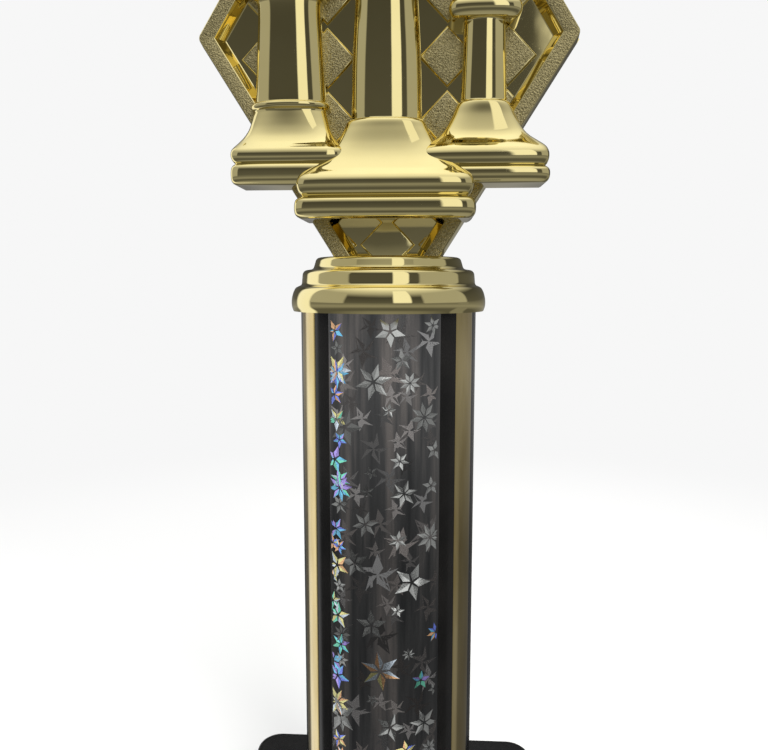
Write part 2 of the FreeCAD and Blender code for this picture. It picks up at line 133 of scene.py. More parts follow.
class Nodes(Tree):
    """One material's node tree, in object coordinates."""

    def __init__(self, name, color, metallic=0.0, roughness=0.4):
        self.material = bpy.data.materials.new(name)
        self.material.use_nodes = True
        super().__init__(self.material.node_tree)
        self.shader = self.tree.nodes["Principled BSDF"]
        self.shader.inputs["Base Color"].default_value = (*color, 1.0)
        self.shader.inputs["Metallic"].default_value = metallic
        self.shader.inputs["Roughness"].default_value = roughness
        self.place = self.add("TexCoord").outputs["Object"]

    def stretched(self, scale):
        """Object coordinates scaled unevenly, for streaks."""
        mapping = self.add("Mapping")
        mapping.inputs["Scale"].default_value = scale
        self.link(self.place, mapping.inputs["Vector"])
        return mapping.outputs["Vector"]

    def noise(self, scale, detail=4.0, vector=None, rough=0.5):
        node = self.add("TexNoise")
        node.inputs["Scale"].default_value = scale
        node.inputs["Detail"].default_value = detail
        node.inputs["Roughness"].default_value = rough
        self.link(vector or self.place, node.inputs["Vector"])
        return node.outputs["Fac"]

    def bump(self, height, strength, distance, after=None):
        node = self.add("Bump")
        node.inputs["Strength"].default_value = strength
        node.inputs["Distance"].default_value = distance
        self.link(height, node.inputs["Height"])
        if after:
            self.link(after, node.inputs["Normal"])
        return node.outputs["Normal"]

    def set(self, socket, source):
        self.link(source, self.shader.inputs[socket])

    def coat(self, weight):
        self.shader.inputs["Coat Weight"].default_value = weight
        self.shader.inputs["Coat Roughness"].default_value = 0.03


def polished_gold():
    """Vacuum metallised mirror gold: faint waviness, tiny dust specks and handling haze."""
    n = Nodes("polished_gold", (0.90, 0.78, 0.37), metallic=1.0, roughness=0.05)
    haze = n.noise(38.0, 5.0)
    n.set("Base Color", n.ramp(haze, [(0.3, (0.87, 0.745, 0.34)), (0.7, (0.93, 0.81, 0.40))]))
    specks = n.noise(900.0, 2.0)
    smear = n.span(haze, 0.025, 0.06, 0.35, 0.75)
    dust = n.span(specks, 0.0, 0.12, 0.66, 0.8)
    n.set("Roughness", n.math("ADD", smear, dust))
    n.set("Normal", n.bump(n.noise(95.0, 2.0), 0.05, 0.0006))
    return n.material


def grained_gold():
    """Metallised gold over a fine crystal grain, matt with small sparkles."""
    n = Nodes("grained_gold", (0.66, 0.56, 0.28), metallic=1.0, roughness=0.4)
    cells = n.add("TexVoronoi", feature="F1")
    cells.inputs["Scale"].default_value = 2100.0
    n.link(n.place, cells.inputs["Vector"])
    coarse = n.noise(1500.0, 3.0, rough=0.65)
    n.set("Base Color", n.ramp(coarse, [(0.35, (0.44, 0.37, 0.17)), (0.62, (0.80, 0.69, 0.36))]))
    n.set("Roughness", n.span(coarse, 0.30, 0.48, 0.3, 0.7))
    fine = n.bump(cells.outputs["Distance"], 0.55, 0.00022)
    n.set("Normal", n.bump(coarse, 0.6, 0.00025, after=fine))
    return n.material


def gold_foil():
    """Hot stamped gold foil with fine upright streaks from the roller."""
    n = Nodes("gold_foil", (0.74, 0.56, 0.22), metallic=1.0, roughness=0.2)
    streaks = n.noise(1.0, 5.0, vector=n.stretched((900.0, 900.0, 14.0)))
    broad = n.noise(1.0, 3.0, vector=n.stretched((160.0, 160.0, 30.0)))
    n.set("Base Color", n.ramp(broad, [(0.3, (0.60, 0.45, 0.16)), (0.7, (0.84, 0.68, 0.32))]))
    n.set("Roughness", n.span(streaks, 0.07, 0.16, 0.3, 0.7))
    n.set("Normal", n.bump(streaks, 0.12, 0.0001))
    n.coat(0.6)
    return n.material


def star_film():
    """The film's silvery ground: a mirror laminate with a soft crumple, its colour painted with upright warm
    stripes of reflection.
    """
    n = Nodes("star_film", (0.30, 0.29, 0.31), metallic=1.0, roughness=0.2)
    crumple_and_reflection_bands = n.noise(1.0, 5.0, vector=n.stretched((170.0, 170.0, 9.0)), rough=0.6)
    grain = n.noise(2600.0, 2.0)
    # The base colour's upright stripes, dark grey to pale warm pink, are painted reflections; the same noise
    # gives the crumple bump.
    n.set("Base Color", n.ramp(crumple_and_reflection_bands, [(0.36, (0.12, 0.125, 0.128)), (0.48, (0.24, 0.24, 0.24)),
                                       (0.62, (0.56, 0.51, 0.48))]))
    n.set("Roughness", n.span(grain, 0.12, 0.24, 0.3, 0.7))
    n.set("Normal", n.bump(crumple_and_reflection_bands, 0.10, 0.0004))
    n.coat(1.0)
    return n.material


def star_foil():
    """The stars' foil: each ray's facet has its own colour and its own tilt, under the clear laminate."""
    n = Nodes("star_foil", (0.5, 0.5, 0.52), metallic=1.0, roughness=0.22)
    # facet_color holds each facet's own foil tone, and near the film's left edge bright rainbow colours that
    # are a painted glint.
    color = n.add("Attribute", attribute_name="facet_color")
    tilt = n.add("Attribute", attribute_name="facet_tilt")
    normal = n.add("NewGeometry").outputs["Normal"]
    lean = n.add("VectorMath", operation="ADD")
    n.link(normal, lean.inputs[0])
    n.link(tilt.outputs["Vector"], lean.inputs[1])
    unit = n.add("VectorMath", operation="NORMALIZE")
    n.link(lean.outputs[0], unit.inputs[0])
    n.set("Normal", unit.outputs[0])
    grain = n.noise(3200.0, 2.0)
    n.set("Roughness", n.span(grain, 0.14, 0.30, 0.3, 0.7))
    n.set("Base Color", color.outputs["Color"])
    n.coat(1.0)
    return n.material


def black_plastic(name, roughness, grain):
    """Moulded black plastic with a faint flow texture and small scuffs."""
    n = Nodes(name, (0.005, 0.005, 0.005), roughness=roughness)
    cloud = n.noise(60.0, 4.0)
    n.set("Base Color", n.ramp(cloud, [(0.3, (0.0035, 0.0035, 0.0035)), (0.7, (0.0085, 0.008, 0.0075))]))
    n.set("Roughness", n.span(n.noise(420.0, 5.0), roughness * 0.75, roughness * 1.4, 0.3, 0.7))
    n.set("Normal", n.bump(n.noise(1400.0, 3.0), grain, 0.00012))
    n.shader.inputs["Specular IOR Level"].default_value = 0.3
    return n.material


def foam_pad():
    n = Nodes("foam_pad", (0.03, 0.03, 0.03), roughness=0.95)
    cells = n.add("TexVoronoi")
    cells.inputs["Scale"].default_value = 1600.0
    n.link(n.place, cells.inputs["Vector"])
    n.set("Base Color", n.ramp(cells.outputs["Distance"], [(0.1, (0.015, 0.015, 0.016)),
                                                           (0.7, (0.055, 0.054, 0.052))]))
    n.set("Normal", n.bump(cells.outputs["Distance"], 0.6, 0.0002))
    return n.material


def brushed(name, dark, light, along, roughness=0.3):
    """Brushed metal; along is the scale of its streaks in each direction."""
    n = Nodes(name, light, metallic=1.0, roughness=roughness)
    streaks = n.noise(1.0, 6.0, vector=n.stretched(along))
    n.set("Base Color", n.ramp(streaks, [(0.3, dark), (0.7, light)]))
    n.set("Roughness", n.span(streaks, roughness * 0.7, roughness * 1.3, 0.3, 0.7))
    n.set("Normal", n.bump(streaks, 0.2, 0.00008))
    return n.material


def cast_ballast():
    n = Nodes("cast_ballast", (0.5, 0.49, 0.45), roughness=0.9)
    grit = n.noise(500.0, 6.0, rough=0.7)
    n.set("Base Color", n.ramp(grit, [(0.3, (0.33, 0.32, 0.29)), (0.7, (0.62, 0.60, 0.55))]))
    n.set("Normal", n.bump(grit, 0.5, 0.0004))
    return n.material


def studio_floor():
    """Pale floor that turns into plain white paper away from the trophy."""
    n = Nodes("studio_floor", (0.80, 0.80, 0.79), roughness=0.6)
    n.set("Base Color", n.ramp(n.noise(2.0, 3.0), [(0.3, (0.78, 0.78, 0.77)), (0.7, (0.82, 0.82, 0.81))]))
    paper = n.add("Emission")
    paper.inputs["Color"].default_value = (0.93, 0.93, 0.93, 1.0)
    distance = n.add("VectorMath", operation="LENGTH")
    n.link(n.place, distance.inputs[0])
    starts, complete = 0.12, 0.75
    blend = n.add("MixShader")
    n.link(n.span(distance.outputs["Value"], 0.0, 1.0, starts, complete, "SMOOTHSTEP"), blend.inputs["Fac"])
    n.link(n.shader.outputs[0], blend.inputs[1])
    n.link(paper.outputs[0], blend.inputs[2])
    n.link(blend.outputs[0], n.tree.nodes["Material Output"].inputs["Surface"])
    return n.material


GOLD = polished_gold()
GRAIN = grained_gold()
FOIL = gold_foil()
FILM = star_film()
STARS = star_foil()
COLUMN_BLACK = black_plastic("column_black", 0.10, 0.03)
BASE_BLACK = black_plastic("base_black", 0.28, 0.10)
LOCATOR = black_plastic("locator_black", 0.5, 0.2)
PAD = foam_pad()
PLATE = brushed("plate_brass", (0.55, 0.41, 0.17), (0.82, 0.66, 0.34), (40.0, 900.0, 2600.0), 0.26)
BRASS = brushed("insert_brass", (0.50, 0.38, 0.16), (0.80, 0.63, 0.30), (400.0, 400.0, 3000.0), 0.3)
ZINC = brushed("zinc_steel", (0.42, 0.43, 0.45), (0.72, 0.73, 0.74), (700.0, 700.0, 2400.0), 0.3)
BALLAST = cast_ballast()


# ---------------------------------------------------------------- mesh helpers

def make_piece(name, verts, faces, materials, body, nodes, smooth_angle=35.0, slots=None):
    """A mesh piece in millimetres, smooth but for its sharp edges, that rides on a body."""
    mesh = bpy.data.meshes.new(name)
    mesh.from_pydata([tuple(c * MM for c in v) for v in verts], [], faces)
    for material in materials:
        mesh.materials.append(material)
    if slots:
        mesh.polygons.foreach_set("material_index", slots)
    piece = bpy.data.objects.new(name, mesh)
    bpy.context.scene.collection.objects.link(piece)
    finish_mesh(piece, smooth_angle)
    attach(piece, body)
    if nodes:
        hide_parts(*nodes)
    return piece


def finish_mesh(piece, smooth_angle):
    """Welds, orients and shades a mesh, with its sharp edges kept sharp."""
    bm = bmesh.new()
    bm.from_mesh(piece.data)
    bmesh.ops.remove_doubles(bm, verts=bm.verts, dist=1e-7)
    bmesh.ops.recalc_face_normals(bm, faces=bm.faces)
    limit = math.radians(smooth_angle)
    for face in bm.faces:
        face.smooth = True
    for edge in bm.edges:
        edge.smooth = not (len(edge.link_faces) == 2 and edge.calc_face_angle(0.0) > limit)
    bm.to_mesh(piece.data)
    bm.free()


def skin(rings, close_ends=True):
    """Faces that join equal closed rings of points one after another."""
    count = len(rings[0])
    verts = [p for ring in rings for p in ring]
    faces = []
    for i in range(len(rings) - 1):
        for j in range(count):
            k = (j + 1) % count
            faces.append((i * count + j, i * count + k, (i + 1) * count + k, (i + 1) * count + j))
    if close_ends:
        faces.append(tuple(range(count - 1, -1, -1)))
        faces.append(tuple((len(rings) - 1) * count + j for j in range(count)))
    return verts, faces


def lathe(profile, segments, closed=False):
    """Turns a profile of (radius, z) round the rod's axis."""
    points = profile + profile[:1] if closed else profile
    rings = []
    for radius, z in points:
        ring = []
        for j in range(segments):
            angle = 2 * math.pi * j / segments
            ring.append((radius * math.cos(angle), radius * math.sin(angle), z))
        rings.append(ring)
    return skin(rings, close_ends=False)


def resample(points, step):
    """Points at even steps along a polyline of tuples, of which the first two are the place."""
    result = [points[0]]
    for a, b in zip(points, points[1:]):
        length = math.dist(a[:2], b[:2])
        pieces = max(1, round(length / step))
        for i in range(1, pieces + 1):
            t = i / pieces
            result.append(tuple(p + (q - p) * t for p, q in zip(a, b)))
    return result


def softened(points, passes):
    """Rounds a fine polyline's corners by averaging neighbours; its ends stay."""
    for _ in range(passes):
        inner = [
            tuple((a + 2 * b + c) / 4 for a, b, c in zip(points[i - 1], points[i], points[i + 1]))
            for i in range(1, len(points) - 1)
        ]
        points = [points[0]] + inner + [points[-1]]
    return points


def curve_through(stations, steps=10):
    """A smooth curve through stations of equal length tuples (Catmull-Rom)."""
    points = []
    for i in range(len(stations) - 1):
        a, b = stations[i], stations[i + 1]
        before = stations[i - 1] if i else tuple(2 * p - q for p, q in zip(a, b))
        after = stations[i + 2] if i + 2 < len(stations) else tuple(2 * q - p for p, q in zip(a, b))
        for k in range(steps):
            t = k / steps
            points.append(tuple(
                0.5 * (2 * q + (r - p) * t + (2 * p - 5 * q + 4 * r - s) * t * t
                       + (3 * q - p - 3 * r + s) * t ** 3)
                for p, q, r, s in zip(before, a, b, after)))
    return points + [stations[-1]]


# ---------------------------------------------------------------- chessmen

def bead(bottom, top, half_width, depth, bulge, squareness=2.0):
    """Stations (height, half width, depth, bulge, squareness) of a rounded moulding."""
    radius = (top - bottom) / 2
    stations = []
    for step in range(-6, 7):
        angle = math.radians(66 * step / 6)
        inset = radius * (1 - math.cos(angle))
        rise = radius * math.sin(angle) / math.sin(math.radians(66))
        stations.append((bottom + radius + rise, half_width - inset, depth - inset, bulge - inset,
                         squareness))
    return stations


def section(x, z, half_width, depth, bulge, squareness, count=96):
    """A chessman's closed outline at one height: rounded front, straight sides, flat back."""
    plane = SEAT - depth + bulge
    fine = []
    for i in range(4 * count + 1):
        angle = math.pi * i / (4 * count)
        across, ahead = -math.cos(angle), math.sin(angle)
        reach = (abs(across / half_width) ** squareness + (ahead / bulge) ** squareness) ** (-1 / squareness)
        fine.append((x + reach * across, plane - reach * ahead))
    lengths = [0.0]
    for a, b in zip(fine, fine[1:]):
        lengths.append(lengths[-1] + math.dist(a, b))
    ring, k = [], 0
    for i in range(count + 1):
        target = lengths[-1] * i / count
        while k < len(fine) - 2 and lengths[k + 1] < target:
            k += 1
        t = (target - lengths[k]) / (lengths[k + 1] - lengths[k])
        ring.append((fine[k][0] + (fine[k + 1][0] - fine[k][0]) * t,
                     fine[k][1] + (fine[k + 1][1] - fine[k][1]) * t, z))
    sides = 5
    for i in range(1, sides + 1):
        ring.append((x + half_width, plane + (SEAT - plane) * i / sides, z))
    for i in range(sides, 0, -1):
        ring.append((x - half_width, plane + (SEAT - plane) * i / sides, z))
    return ring


def chessman(name, x, lengths, step=0.3, passes=2):
    """A turned chessman from its lengths of stations, its corners softened."""
    profile = [station for stations in lengths for station in stations]
    fine = softened(resample(profile, step), passes)
    rings = [section(x, FOOT_Z + z, *shape) for z, *shape in fine]
    verts, faces = skin(rings)
    return make_piece(name, verts, faces, [GOLD], "figure", [name])


def append_mesh(verts, faces, more_verts, more_faces):
    """Adds points and faces to lists made earlier."""
    first = len(verts)
    verts += more_verts
    faces += [tuple(first + i for i in face) for face in more_faces]


def join_into(target, extra_verts, extra_faces):
    """Adds more geometry, in millimetres, to a piece made earlier."""
    bm = bmesh.new()
    bm.from_mesh(target.data)
    made = [bm.verts.new(tuple(c * MM for c in v)) for v in extra_verts]
    for face in extra_faces:
        bm.faces.new([made[i] for i in face])
    bm.to_mesh(target.data)
    bm.free()
    finish_mesh(target, 35.0)


def rook():
    """The rook, with a ring of merlons round a sunk deck."""
    x = -SIDE_SPACING
    deck, top, well = 89.0, 93.5, 6.6
    lengths = [
        curve_through([
            (20.9, 15.7, 15.2, 4.4, 4.0), (21.4, 16.5, 15.9, 5.0, 4.0), (22.4, 17.0, 16.3, 5.3, 4.0),
            (24.4, 17.1, 16.4, 5.4, 4.0), (25.8, 16.9, 16.2, 5.2, 4.0), (26.6, 16.4, 15.7, 4.9, 4.0),
            (27.1, 15.7, 15.2, 4.5, 4.0)]),
        curve_through([
            (27.1, 15.7, 15.2, 4.5, 4.0), (27.6, 16.3, 15.7, 4.8, 4.0), (28.6, 16.9, 16.0, 5.1, 4.0),
            (29.8, 17.1, 16.0, 5.1, 4.0), (31.0, 16.9, 15.6, 5.0, 4.0), (32.0, 16.3, 14.8, 4.9, 4.0),
            (33.5, 15.1, 13.6, 4.9, 3.8), (35.4, 13.7, 12.6, 5.0, 3.4), (37.7, 12.5, 11.9, 5.2, 3.0),
            (40.3, 11.8, 11.4, 5.4, 2.6), (43.6, 11.0, 10.9, 5.5, 2.2)]),
        bead(43.6, 45.7, 12.0, 12.2, 6.3),
        curve_through([
            (45.7, 10.9, 10.8, 5.5, 2.0), (48.0, 10.7, 10.7, 5.5, 2.0), (60.0, 10.1, 10.5, 5.4, 2.0),
            (73.0, 9.5, 10.3, 5.3, 2.0), (75.6, 10.4, 11.0, 6.0, 2.0), (77.8, 12.4, 13.0, 7.6, 2.0)]),
        bead(77.8, 81.0, 13.4, 14.2, 8.8),
        [(81.0, 11.8, 13.4, 8.2, 2.0), (deck, 12.3, 13.9, 8.6, 2.0)],
    ]
    tower = chessman("rook", x, lengths)
    verts, faces = [], []
    steps = 10
    for first, last in ((-84, -36), (-24, 24), (36, 84)):
        rings = []
        for i in range(steps + 1):
            angle = math.radians(first + (last - first) * i / steps)
            across, ahead = math.sin(angle), math.cos(angle)
            outer = 1 / math.sqrt((across / 12.6) ** 2 + (ahead / 8.7) ** 2)
            corners = [(well, deck - 0.4), (outer - 0.3, deck - 0.4), (outer, deck + 0.2), (outer, top - 0.5),
                       (outer - 0.15, top - 0.15), (outer - 0.5, top), (well + 0.5, top),
                       (well + 0.1, top - 0.2), (well, top - 0.6)]
            rings.append([(x + r * across, ROOK_WELL_PLANE - r * ahead, FOOT_Z + z) for r, z in corners])
        append_mesh(verts, faces, *skin(rings))
    join_into(tower, verts, faces)
    return tower


def king():
    """The king, with its crown and cross."""
    lengths = [
        curve_through([
            (10.6, 24.8, 19.4, 5.0, 4.0), (11.1, 25.8, 20.2, 5.6, 4.0), (12.0, 26.5, 20.8, 6.0, 4.0),
            (13.6, 26.7, 21.0, 6.1, 4.0), (15.4, 26.5, 20.8, 6.0, 4.0), (16.3, 25.9, 20.2, 5.6, 4.0),
            (17.1, 24.4, 18.9, 4.7, 4.0)]),
        curve_through([
            (17.1, 24.4, 18.9, 4.7, 4.0), (17.6, 25.0, 19.5, 5.1, 4.0), (18.6, 25.6, 20.1, 5.5, 4.0),
            (20.2, 26.0, 20.4, 5.7, 4.0), (21.6, 25.9, 20.3, 5.7, 4.0), (22.7, 25.5, 19.8, 5.6, 4.0),
            (23.7, 24.9, 19.0, 5.6, 4.0), (25.3, 23.3, 17.7, 5.6, 4.0), (28.9, 18.7, 15.4, 5.6, 3.6),
            (32.8, 15.2, 13.8, 5.7, 3.4), (37.1, 12.9, 12.7, 5.9, 3.2), (39.4, 11.9, 12.2, 5.9, 3.0),
            (40.3, 11.2, 11.7, 5.9, 2.8)]),
        curve_through([
            (40.3, 10.7, 11.0, 5.9, 2.0), (59.0, 10.3, 10.9, 5.9, 2.0), (76.0, 9.4, 10.7, 5.7, 2.0),
            (93.0, 8.7, 10.5, 5.5, 2.0)]),
        bead(93.0, 97.0, 13.0, 14.4, 7.6),
        bead(97.0, 99.4, 11.0, 12.8, 6.6),
        bead(99.4, 103.6, 14.2, 15.2, 8.2),
        curve_through([
            (103.6, 9.2, 11.2, 5.8, 2.0), (108.0, 10.0, 11.8, 6.2, 2.0), (114.0, 12.0, 13.0, 7.2, 2.0),
            (119.0, 14.0, 14.0, 8.0, 2.0)]),
        bead(119.0, 122.0, 15.2, 15.2, 9.0),
        curve_through([
            (122.0, 13.4, 14.0, 8.0, 2.0), (124.4, 12.0, 13.2, 7.4, 2.0), (126.4, 8.6, 11.0, 5.6, 2.0),
            (127.6, 4.6, 9.0, 4.0, 2.0)]),
    ]
    crown = chessman("king", 0.0, lengths)
    join_into(crown, *cross(126.4))
    return crown


def cross(foot):
    """The king's cross: four flared arms with softened edges, on a waisted stem."""
    middle, reach, narrow, wide = FOOT_Z + foot + 9.0, 7.4, 1.7, 3.6
    outline = []
    for turn in range(4):
        angle = math.radians(90 * turn)
        for along, across in ((narrow, -narrow), (reach, -wide), (reach, wide)):
            outline.append((along * math.cos(angle) - across * math.sin(angle),
                            along * math.sin(angle) + across * math.cos(angle)))
    half_depth = 3.0
    rings = []
    for y, inset in ((-1.0, 0.5), (-0.95, 0.25), (-0.83, 0.0), (0.83, 0.0), (0.95, 0.25), (1.0, 0.5)):
        shrink = 1 - inset / reach
        rings.append([(px * shrink, CROSS_PLANE + half_depth * y, middle + pz * shrink)
                      for px, pz in outline])
    verts, faces = skin(rings)
    stem = [[(r * math.cos(2 * math.pi * j / 24), CROSS_PLANE + r * math.sin(2 * math.pi * j / 24),
              FOOT_Z + z) for j in range(24)]
            for r, z in ((3.6, foot), (2.4, foot + 1.0), (2.0, foot + 2.2), (2.4, foot + 3.2))]
    append_mesh(verts, faces, *skin(stem))
    return verts, faces


def pawn():
    """The pawn, with its collar and ball."""
    x = SIDE_SPACING
    ball, ball_height = 9.6, 84.8
    lengths = [
        curve_through([
            (21.1, 17.7, 15.2, 4.2, 4.0), (21.6, 18.5, 15.9, 4.8, 4.0), (22.6, 19.0, 16.3, 5.2, 4.0),
            (24.0, 19.1, 16.4, 5.3, 4.0), (25.0, 18.8, 16.1, 5.1, 4.0), (26.0, 17.7, 15.0, 4.4, 4.0)]),
        curve_through([
            (26.0, 17.7, 15.0, 4.4, 4.0), (26.5, 18.2, 15.5, 4.8, 4.0), (27.8, 18.7, 15.9, 5.1, 4.0),
            (29.4, 18.8, 15.9, 5.1, 4.0), (30.8, 18.4, 15.3, 5.0, 4.0), (32.0, 17.6, 14.3, 4.9, 4.0),
            (33.8, 15.4, 12.6, 4.8, 3.8), (35.4, 13.4, 11.5, 4.8, 3.4), (37.5, 11.6, 10.7, 4.7, 3.2),
            (41.4, 9.5, 9.7, 4.6, 3.0), (44.8, 8.1, 9.2, 4.5, 2.6), (45.7, 7.3, 8.8, 4.4, 2.4)]),
        curve_through([(45.7, 6.9, 8.5, 4.4, 2.0), (58.0, 6.5, 8.3, 4.3, 2.0), (69.0, 6.2, 8.1, 4.2, 2.0)]),
        bead(69.0, 75.0, 10.8, 10.4, 4.2, 2.6),
        curve_through([(75.0, 7.4, 9.0, 4.4, 2.0), (76.8, 5.6, 8.0, 4.0, 2.0), (78.4, 5.2, 7.8, 3.9, 2.0)]),
    ]
    man = chessman("pawn", x, lengths)
    rings = []
    for i in range(1, 64):
        angle = math.pi * i / 64
        radius, z = ball * math.sin(angle), ball_height - ball * math.cos(angle)
        rings.append([(x + radius * math.cos(2 * math.pi * j / 96),
                       min(PAWN_BALL_PLANE + radius * math.sin(2 * math.pi * j / 96), SEAT), FOOT_Z + z)
                      for j in range(96)])
    join_into(man, *skin(rings))
    return man


# ---------------------------------------------------------------- board

def board_outline(inset=0.0, below=0.0):
    """The board's six corners as (x, z), from the right foot round over the top to the left foot."""
    slope = math.atan2(VERTEX_HEIGHT, BOARD_HALF_WIDTH - FOOT_HALF_WIDTH)
    half_width = BOARD_HALF_WIDTH - inset / math.sin(slope)
    foot_half = half_width - (VERTEX_HEIGHT + below) / math.tan(slope)
    top = VERTEX_HEIGHT - inset
    top_half = half_width - top / math.tan(slope)
    middle = FOOT_Z + VERTEX_HEIGHT
    return [(foot_half, FOOT_Z - below), (half_width, middle), (top_half, middle + top),
            (-top_half, middle + top), (-half_width, middle), (-foot_half, FOOT_Z - below)]


def rounded_path(inset, radius, steps=6):
    """The board's outline with its upper corners rounded; its two foot corners stay sharp."""
    corners = board_outline(inset)
    path = [corners[0]]
    for i in range(1, 5):
        corner = Vector(corners[i])
        before, after = (Vector(corners[i - 1]) - corner), (Vector(corners[i + 1]) - corner)
        half = before.angle(after) / 2
        before.normalize()
        after.normalize()
        center = corner + (before + after).normalized() * (radius / math.sin(half))
        start = corner + before * (radius / math.tan(half)) - center
        end = corner + after * (radius / math.tan(half)) - center
        sweep = start.angle_signed(end)
        for k in range(steps + 1):
            turn = -sweep * k / steps
            path.append((center.x + start.x * math.cos(turn) - start.y * math.sin(turn),
                         center.y + start.x * math.sin(turn) + start.y * math.cos(turn)))
    path.append(corners[5])
    return path


def board_frame():
    """The frame: a drafted wall, a grained front band and a polished bevel down to the panel."""
    inner = FRAME_BAND + FRAME_BEVEL
    # inset, depth, corner radius and whether the face up to the next point is grained
    profile = [
        (0.0, FRAME_BACK, 2.4, 0), (BOARD_DRAFT - 0.05, FRAME_FRONT + 0.5, 2.2, 0),
        (BOARD_DRAFT + 0.05, FRAME_FRONT + 0.2, 2.2, 0), (BOARD_DRAFT + 0.3, FRAME_FRONT, 2.1, 1),
        (FRAME_BAND - 0.25, FRAME_FRONT, 0.15, 0), (FRAME_BAND, FRAME_FRONT + 0.12, 0.15, 0),
        (FRAME_BAND + 0.2, FRAME_FRONT + 0.45, 0.15, 0), (inner - 0.1, PANEL_FRONT - 0.1, 0.15, 0),
        (inner + 0.3, PANEL_FRONT + 0.05, 0.15, 0), (inner + 0.3, PANEL_FRONT + 0.4, 0.15, 0),
        (FRAME_BAND, FRAME_BACK, 0.15, 0),
    ]
    verts, faces, slots = [], [], []
    for inset, depth, radius, _ in profile:
        path = rounded_path(inset, radius)
        verts += [(x, depth, z) for x, z in path]
    count = len(path)
    for i, (_, _, _, slot) in enumerate(profile):
        following = (i + 1) % len(profile)
        for j in range(count - 1):
            faces.append((count * i + j, count * i + j + 1, count * following + j + 1, count * following + j))
            slots.append(slot)
    for j in (0, count - 1):
        faces.append(tuple(count * i + j for i in range(len(profile))))
        slots.append(0)
    return make_piece("board_frame", verts, faces, [GOLD, GRAIN], "figure", ["board_frame"],
                      smooth_angle=28.0, slots=slots)


def inside_lines(outline):
    """(corner, inward normal) of each side of a counter-clockwise convex outline."""
    lines = []
    for i, corner in enumerate(outline):
        following = outline[(i + 1) % len(outline)]
        along = (following[0] - corner[0], following[1] - corner[1])
        length = math.hypot(*along)
        lines.append((corner, (-along[1] / length, along[0] / length)))
    return lines


def tile_mesh(x, z, border, top_slot):
    """One raised diamond with a rounded bevel, trimmed to the field inside the frame."""
    steps = [(0.0, 0.3), (0.0, -0.05), (0.12, -0.38), (0.42, -0.72), (0.78, -TILE_RISE + 0.03),
             (1.0, -TILE_RISE)]
    bm = bmesh.new()
    loops = []
    for inset, rise in steps:
        half_x, half_z = TILE_HALF_X - inset, TILE_HALF_Z - inset
        loops.append([bm.verts.new((px, PANEL_FRONT + rise, pz)) for px, pz in
                      ((x - half_x, z), (x, z - half_z), (x + half_x, z), (x, z + half_z))])
    for lower, upper in zip(loops, loops[1:]):
        for j in range(4):
            bm.faces.new((lower[j], lower[(j + 1) % 4], upper[(j + 1) % 4], upper[j]))
    top = bm.faces.new(loops[-1])
    top.material_index = top_slot
    bm.faces.new(loops[0])
    for (cx, cz), (nx, nz) in border:
        cut = bmesh.ops.bisect_plane(bm, geom=bm.verts[:] + bm.edges[:] + bm.faces[:], plane_co=(cx, 0, cz),
                                     plane_no=(-nx, 0, -nz), clear_outer=True, dist=1e-4)
        rim = [e for e in cut["geom_cut"] if isinstance(e, bmesh.types.BMEdge)]
        if rim:
            bmesh.ops.holes_fill(bm, edges=rim)
    return bm


def checker_panel():
    """The polished panel with raised diamonds and a hollow moulding at its foot."""
    border = inside_lines(board_outline(FRAME_BAND + FRAME_BEVEL + 0.4))
    plate = board_outline(FRAME_BAND - 1.4)
    verts = [(x, PANEL_FRONT, z) for x, z in plate] + [(x, PANEL_BACK, z) for x, z in plate]
    faces = [tuple(range(6)), tuple(range(11, 5, -1))]
    faces += [(j, (j + 1) % 6, 6 + (j + 1) % 6, 6 + j) for j in range(6)]
    slots = [0] * len(faces)
    for row in range(7):
        for column in range(-2, 3):
            bm = tile_mesh(column * TILE_PITCH_X, FOOT_Z + TILE_FIRST_Z + row * TILE_PITCH_Z, border,
                           1 if row else 0)
            bm.verts.index_update()
            append_mesh(verts, faces, [tuple(v.co) for v in bm.verts],
                        [tuple(v.index for v in face.verts) for face in bm.faces])
            slots += [face.material_index for face in bm.faces]
            bm.free()
    half = board_outline(FRAME_BAND + 0.4)[0][0]
    rings = []
    for side in (-half, half):
        arc = [(side, PANEL_FRONT - COVE + COVE * math.sin(math.radians(10 * k)),
                FOOT_Z + COVE - COVE * math.cos(math.radians(10 * k))) for k in range(10)]
        rings.append([(side, PANEL_FRONT + 0.3, FOOT_Z)] + arc + [(side, PANEL_FRONT + 0.3, FOOT_Z + COVE)])
    append_mesh(verts, faces, *skin(rings))
    slots += [0] * (len(faces) - len(slots))
    return make_piece("checker_panel", verts, faces, [GOLD, GRAIN], "figure",
                      ["checker_panel"], smooth_angle=32.0, slots=slots)


# ---------------------------------------------------------------- cap and column

def arc_points(center, radius, first, last, steps):
    """Points (r, z) along an arc between two angles in degrees."""
    return [(center[0] + radius * math.cos(math.radians(first + (last - first) * i / steps)),
             center[1] + radius * math.sin(math.radians(first + (last - first) * i / steps)))
            for i in range(steps + 1)]


def column_cap():
    """The stepped cap as one smooth turning, hollow below."""
    top, rim = CAP_TOP, CAP_RIM
    outside = [(3.6, top)]
    outside += arc_points((22.2, top - 1.4), 1.4, 90, 8, 8)
    outside += [(24.15, top - 3.1)]
    outside += [(24.4, top - 3.5), (24.9, top - 3.75), (26.2, top - 3.95)]
    outside += arc_points((26.2, top - 5.55), 1.6, 82, 6, 8)
    outside += [(28.05, top - 8.3), (28.25, top - 8.7), (28.7, top - 8.95)]
    outside += curve_through([(29.2, top - 9.1), (30.1, top - 9.7), (30.8, top - 11.0), (31.25, top - 12.6),
                              (31.4, top - 14.0), (31.3, top - 15.6), (30.8, rim)], 6)
    inside = [(30.5, rim), (28.9, rim), (28.9, rim + 5.5), (24.6, rim + 5.5), (21.0, top - 2.6),
              (6.5, top - 2.6), (6.5, rim + 3.5), (3.6, rim + 3.5), (3.6, top)]
    fine = softened(resample(outside, 0.25), 2) + inside
    verts, faces = lathe(fine, 256)
    return make_piece("column_cap", verts, faces, [GOLD], "column", ["column_cap"])


